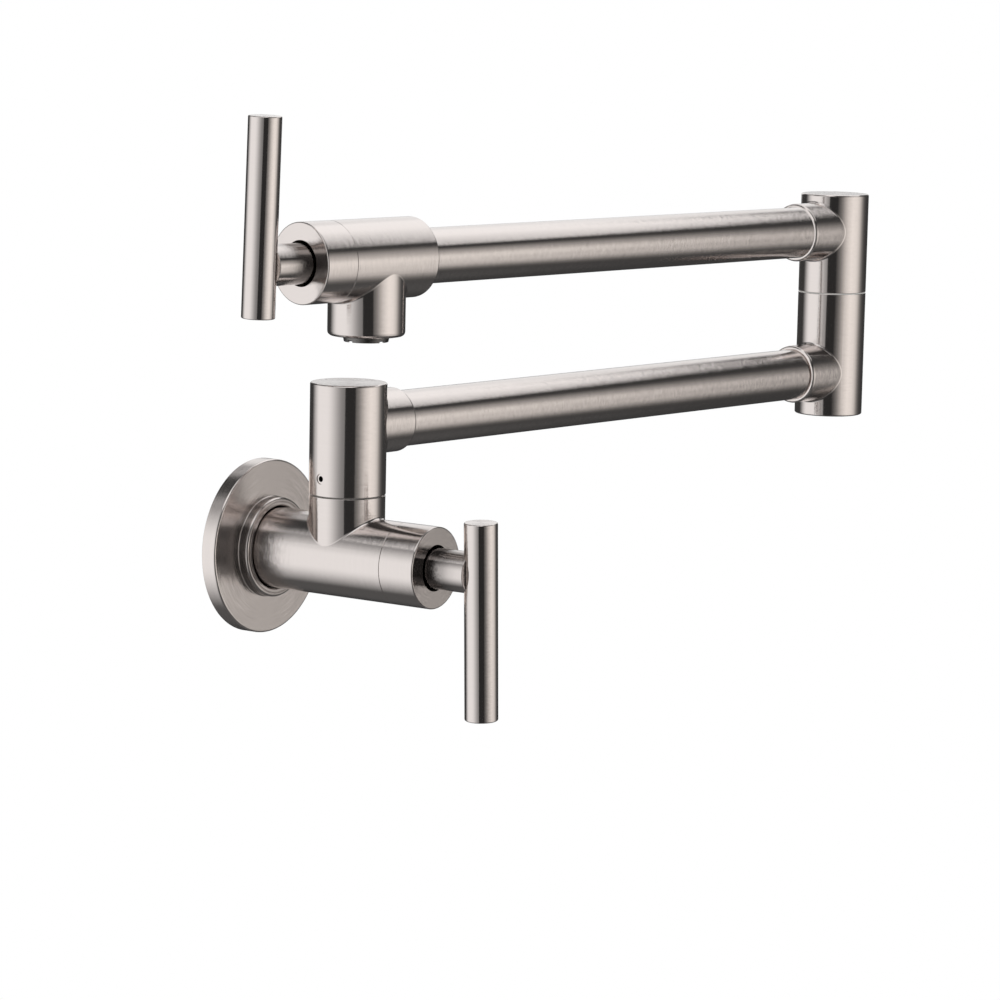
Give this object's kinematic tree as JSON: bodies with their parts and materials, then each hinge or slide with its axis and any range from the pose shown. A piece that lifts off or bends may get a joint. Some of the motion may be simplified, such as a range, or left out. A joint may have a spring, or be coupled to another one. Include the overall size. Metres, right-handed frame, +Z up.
{
  "type": "wall mounted pot filler",
  "caption": "Wall mounted folding pot filler tap: two swinging arms on swivel joints, a lever valve at each end, round flange.",
  "frame": {"origin": "on the wall plane at the flange's centre, on the inlet's axis", "axes": "+Y runs into the wall, +X along the wall to the right seen from the front, +Z up"},
  "size_m": [0.3659, 0.1149, 0.2291],
  "materials": {
    "brushed_nickel": "fine brushed satin nickel",
    "brass": "machined",
    "ceramic": "lapped",
    "rubber": "moulded",
    "foam_rubber": "closed-cell foam",
    "white_nylon": "moulded",
    "dark_steel": "blackened",
    "grey_plastic": "moulded",
    "aerator_steel": "turned"
  },
  "bodies": {
    "wall_unit": {"wall_flange": "brushed_nickel", "flange_o_ring": "rubber", "wall_gasket": "foam_rubber", "wall_valve_body": "brushed_nickel", "wall_bonnet": "brushed_nickel", "wall_cartridge": "brass", "wall_cartridge_seal": "rubber", "wall_fixed_disc": "ceramic", "wall_swivel_nipple": "brass", "wall_swivel_o_rings": "rubber", "wall_swivel_washer": "white_nylon"},
    "wall_lever": {"wall_lever_stem": "brushed_nickel", "wall_lever_bar": "brushed_nickel", "wall_bar_screw": "dark_steel", "wall_lever_screw": "dark_steel", "wall_spindle": "brass", "wall_spindle_o_ring": "rubber", "wall_spindle_clip": "dark_steel", "wall_turning_disc": "ceramic"},
    "lower_arm": {"wall_swivel_housing": "brushed_nickel", "wall_swivel_screw": "brushed_nickel", "lower_arm_tube": "brushed_nickel", "elbow_lower_housing": "brushed_nickel", "elbow_nipple": "brass", "elbow_o_rings": "rubber", "elbow_washer": "white_nylon"},
    "upper_arm": {"elbow_upper_housing": "brushed_nickel", "elbow_screw": "brushed_nickel", "upper_arm_tube": "brushed_nickel", "spout_valve_body": "brushed_nickel", "spout_bonnet": "brushed_nickel", "spout_cartridge": "brass", "spout_cartridge_seal": "rubber", "spout_fixed_disc": "ceramic", "aerator_washer": "rubber", "aerator_insert": "grey_plastic", "aerator_shell": "aerator_steel"},
    "spout_lever": {"spout_lever_stem": "brushed_nickel", "spout_lever_bar": "brushed_nickel", "spout_bar_screw": "dark_steel", "spout_lever_screw": "dark_steel", "spout_spindle": "brass", "spout_spindle_o_ring": "rubber", "spout_spindle_clip": "dark_steel", "spout_turning_disc": "ceramic"}
  },
  "joints": [
    {"name": "wall_swivel", "type": "hinge", "parent": "wall_unit", "child": "lower_arm", "pos_m": [0, -0.0444, 0.0249], "axis": [0, 0, 1], "range_deg": [-172.3, 7.7]},
    {"name": "elbow_swivel", "type": "hinge", "parent": "lower_arm", "child": "upper_arm", "pos_m": [0.30522, -0.08567, 0.0877], "axis": [0, 0, 1], "continuous": true},
    {"name": "wall_lever_turn", "type": "hinge", "parent": "wall_unit", "child": "wall_lever", "pos_m": [0, -0.0717, 0], "axis": [0, -1, 0], "range_deg": [-2.2, 87.8]},
    {"name": "spout_lever_turn", "type": "hinge", "parent": "upper_arm", "child": "spout_lever", "pos_m": [-0.00265, -0.03635, 0.1147], "axis": [0.9874, -0.1582, 0], "range_deg": [-2.1, 87.9]}
  ]
}
